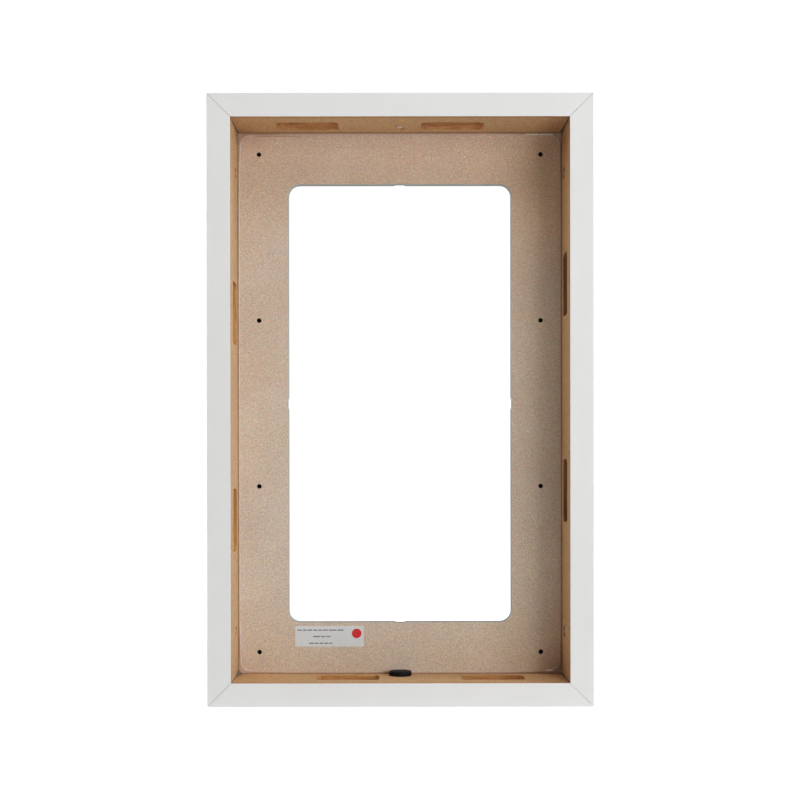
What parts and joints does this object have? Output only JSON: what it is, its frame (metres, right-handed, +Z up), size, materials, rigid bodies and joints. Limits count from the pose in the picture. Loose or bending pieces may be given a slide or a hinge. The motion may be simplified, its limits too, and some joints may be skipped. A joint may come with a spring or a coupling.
{
  "type": "wall mounting box frame",
  "caption": "White mitred box frame with raw board inside, clamp pockets in its walls, a back panel with a large cut-out and pilot holes, and a rubber cable plug.",
  "frame": {"origin": "middle of the underside, on the surface that the frame stands on", "axes": "+X right as seen from the front, +Y from the front face to the wall, +Z up"},
  "size_m": [0.412, 0.084, 0.654],
  "materials": {
    "board": "raw fibreboard, routed, brown",
    "white_facing": "white, satin",
    "panel": "raw fibreboard face, greyish beige, mottled",
    "steel": "zinc-plated",
    "dowel": "beech",
    "glue": "hot-melt glue, translucent brown",
    "plug_rubber": "black, matt",
    "label": "white paper with plain grey lines and a red dot"
  },
  "bodies": {
    "box": {"rail_bottom": "board", "rail_left": "board", "rail_top": "board", "rail_right": "board", "facing_bottom": "white_facing", "facing_left": "white_facing", "facing_top": "white_facing", "facing_right": "white_facing", "back_panel": "panel", "board_screw_top": "steel", "board_screw_left_upper": "steel", "board_screw_left_lower": "steel", "board_screw_right_upper": "steel", "board_screw_right_lower": "steel", "dowel_bottom_left_front": "dowel", "dowel_bottom_left_rear": "dowel", "dowel_bottom_right_front": "dowel", "dowel_bottom_right_rear": "dowel", "dowel_top_left_front": "dowel", "dowel_top_left_rear": "dowel", "dowel_top_right_front": "dowel", "dowel_top_right_rear": "dowel", "glue_bottom_left": "glue", "glue_bottom_right": "glue", "glue_top_left": "glue", "glue_top_right": "glue", "label": "label"},
    "plug": {"cable_plug": "plug_rubber"}
  },
  "joints": [
    {"name": "cable_plug_pull", "type": "slide", "parent": "box", "child": "plug", "axis": [0, 0, 1], "range_m": [0, 0.04]}
  ]
}
